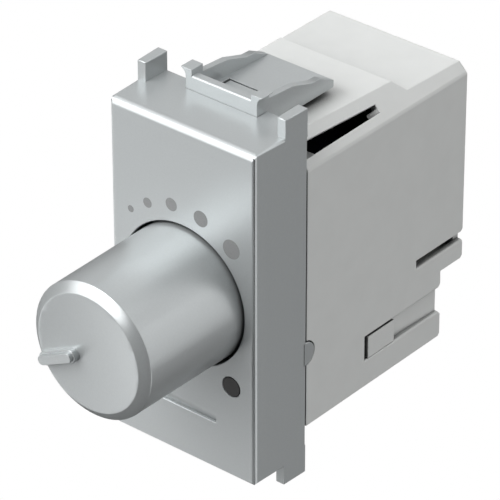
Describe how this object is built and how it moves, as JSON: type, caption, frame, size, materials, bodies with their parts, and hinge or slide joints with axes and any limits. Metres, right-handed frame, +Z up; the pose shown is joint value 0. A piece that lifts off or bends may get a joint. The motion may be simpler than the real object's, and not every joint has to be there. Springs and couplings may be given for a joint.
{
  "type": "rotary dimmer module",
  "caption": "Wall-frame dimmer module with a silver front plate, a turning push knob with a pointer rib, a sprung release latch and a stepped light grey rear housing with screw terminals.",
  "frame": {"origin": "on the knob's axis, in the plane of the tabs' rear faces, where the plate rests on the wall frame", "axes": "+Y from the room into the wall along the knob's axis, +X right seen from the room, +Z up"},
  "size_m": [0.0224, 0.057, 0.0502],
  "materials": {
    "silver_paint": "satin metallic paint on moulded plastic",
    "lens": "smooth translucent",
    "housing_plastic": "fine matte moulded",
    "carrier_plastic": "fine matte moulded",
    "black_plastic": "matte moulded",
    "green_plastic": "matte moulded",
    "white_plastic": "smooth moulded",
    "steel": "zinc plated",
    "brass": "bare",
    "aluminium": "bare sheet",
    "board": "green solder mask",
    "carbon": "carbon film",
    "ferrite": "sintered",
    "copper_wire": "enamelled copper",
    "capacitor_film": "moulded case",
    "capacitor_sleeve": "shrunk sleeve",
    "varistor_blue": "dipped lacquer",
    "led_epoxy": "clear epoxy"
  },
  "bodies": {
    "module": {"front_plate": "silver_paint", "indicator_lens": "lens", "chassis": "carrier_plastic", "shaft_bushing": "brass", "bushing_washer": "steel", "bushing_nut": "brass", "potentiometer_housing": "green_plastic", "resistive_track": "carbon", "potentiometer_pins": "brass", "switch_body": "black_plastic", "fixed_contacts": "brass", "housing_shell": "housing_plastic", "circuit_board": "board", "heat_sink": "aluminium", "power_transistor": "black_plastic", "transistor_screw": "steel", "choke_core": "ferrite", "choke_winding": "copper_wire", "film_capacitor": "capacitor_film", "electrolytic_capacitor": "capacitor_sleeve", "fuse": "black_plastic", "varistor": "varistor_blue", "indicator_led": "led_epoxy", "terminal_block": "housing_plastic", "terminal_clamps": "brass", "terminal_screws": "steel", "terminal_leads": "brass"},
    "rotor": {"wiper_rotor": "white_plastic", "wiper_contact": "brass"},
    "knob": {"rotary_knob": "silver_paint", "knob_clip": "steel", "control_shaft": "white_plastic"},
    "plunger": {"switch_plunger": "white_plastic", "bridge_contact": "brass", "return_spring": "steel"},
    "latch": {"release_latch": "silver_paint"}
  },
  "joints": [
    {"name": "knob_turn", "type": "hinge", "parent": "module", "child": "rotor", "pos_m": [0, 0, 0], "axis": [0, 1, 0], "range_deg": [-19, 251]},
    {"name": "knob_push", "type": "slide", "parent": "rotor", "child": "knob", "axis": [0, 1, 0], "range_m": [0, 0.0015], "stiffness_N_per_m": 1500, "springref_m": -0.002},
    {"name": "plunger_slide", "type": "slide", "parent": "module", "child": "plunger", "axis": [0, 1, 0], "range_m": [0, 0.0015], "deforming": ["return_spring"]},
    {"name": "latch_press", "type": "hinge", "parent": "module", "child": "latch", "pos_m": [0, -0.0014, 0.016], "axis": [-1, 0, 0], "range_deg": [0, 3], "stiffness_Nm_per_rad": 2}
  ],
  "couplings": [
    {"joint": "plunger_slide", "follows": "knob_push", "ratio": 1}
  ]
}
